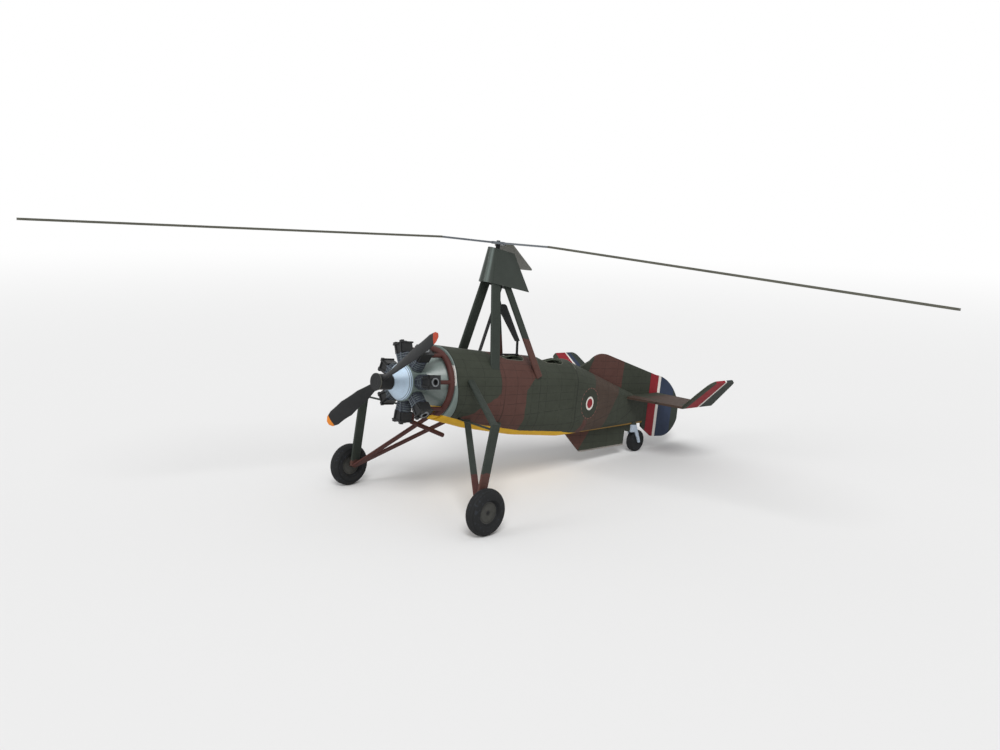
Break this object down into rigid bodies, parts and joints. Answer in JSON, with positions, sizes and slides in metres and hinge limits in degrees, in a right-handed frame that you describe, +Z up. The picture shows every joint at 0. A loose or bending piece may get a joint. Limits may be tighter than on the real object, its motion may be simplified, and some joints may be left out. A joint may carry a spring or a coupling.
{
  "type": "scale model gyrocopter",
  "caption": "Small card display model of a two-seat gyrocopter with an open radial engine, a drooping rotor on a strutted pylon, and free-turning rotor, propeller and wheels.",
  "frame": {"origin": "on the floor that the wheels stand on, straight below the rotor hub", "axes": "+X towards the nose, +Y towards the port wing tip side, +Z up"},
  "size_m": [0.2006, 0.1936, 0.0745],
  "materials": {
    "camouflage_card": "matt printed card, dark olive with earth brown",
    "engine_card": "satin blue-black card",
    "crankcase_card": "pale blue-grey card with a slight sheen",
    "cowl_card": "varnished grey-green card",
    "exhaust_card": "dark red-brown card",
    "tyre_card": "matt black card",
    "hub_card": "dark grey card",
    "propeller_card": "matt black card with orange tips",
    "rotor_card": "grey-olive card, olive brown beneath",
    "rotor_arm": "dark steel-blue wire and card",
    "strut_card": "dark green card",
    "wire": "black wire",
    "fork_card": "pale blue-grey card",
    "seat_card": "brown card"
  },
  "bodies": {
    "airframe": {"nose_section": "camouflage_card", "cockpit_section": "camouflage_card", "tail_cone": "camouflage_card", "fin": "camouflage_card", "ventral_fin": "camouflage_card", "tailplane_port": "camouflage_card", "tailplane_starboard": "camouflage_card", "head_fairing": "camouflage_card", "cylinder_1": "engine_card", "cylinder_2": "engine_card", "cylinder_3": "engine_card", "cylinder_4": "engine_card", "cylinder_5": "engine_card", "cylinder_6": "engine_card", "cylinder_7": "engine_card", "crankcase": "crankcase_card", "crankcase_nose": "crankcase_card", "cowl_cone": "cowl_card", "exhaust_ring": "exhaust_card", "exhaust_pipe": "exhaust_card", "radius_rods_port": "exhaust_card", "radius_rods_starboard": "exhaust_card", "head_block": "rotor_arm", "pylon_front_port": "strut_card", "pylon_front_starboard": "strut_card", "pylon_rear_port": "strut_card", "pylon_rear_starboard": "strut_card", "main_leg_port": "strut_card", "main_leg_starboard": "strut_card", "upper_brace_port": "strut_card", "upper_brace_starboard": "strut_card", "lower_brace_port": "strut_card", "lower_brace_starboard": "strut_card", "starter_shaft": "wire", "control_column": "wire", "tail_fork": "fork_card", "seat_front": "seat_card", "seat_rear": "seat_card"},
    "rotor": {"rotor_hub": "rotor_arm", "rotor_blade_1": "rotor_card", "rotor_blade_2": "rotor_card", "rotor_blade_3": "rotor_card"},
    "propeller": {"propeller_boss": "propeller_card", "propeller_blade_1": "propeller_card", "propeller_blade_2": "propeller_card"},
    "wheel_port": {"tyre_port": "tyre_card", "wheel_disc_port": "hub_card"},
    "wheel_starboard": {"tyre_starboard": "tyre_card", "wheel_disc_starboard": "hub_card"},
    "tail_wheel": {"tail_wheel": "tyre_card"}
  },
  "joints": [
    {"name": "rotor_spin", "type": "hinge", "parent": "airframe", "child": "rotor", "pos_m": [0, 0, 0.0686], "axis": [-0.1082, 0, 0.9941], "continuous": true},
    {"name": "propeller_spin", "type": "hinge", "parent": "airframe", "child": "propeller", "pos_m": [0.0413, 0, 0.03519], "axis": [0.9925, 0, 0.122], "continuous": true},
    {"name": "wheel_port_spin", "type": "hinge", "parent": "airframe", "child": "wheel_port", "pos_m": [0.02951, 0.0281, 0.0059], "axis": [0, 1, 0], "continuous": true},
    {"name": "wheel_starboard_spin", "type": "hinge", "parent": "airframe", "child": "wheel_starboard", "pos_m": [0.02951, -0.0281, 0.0059], "axis": [0, 1, 0], "continuous": true},
    {"name": "tail_wheel_spin", "type": "hinge", "parent": "airframe", "child": "tail_wheel", "pos_m": [-0.06359, 0, 0.0035], "axis": [0, 1, 0], "continuous": true}
  ]
}
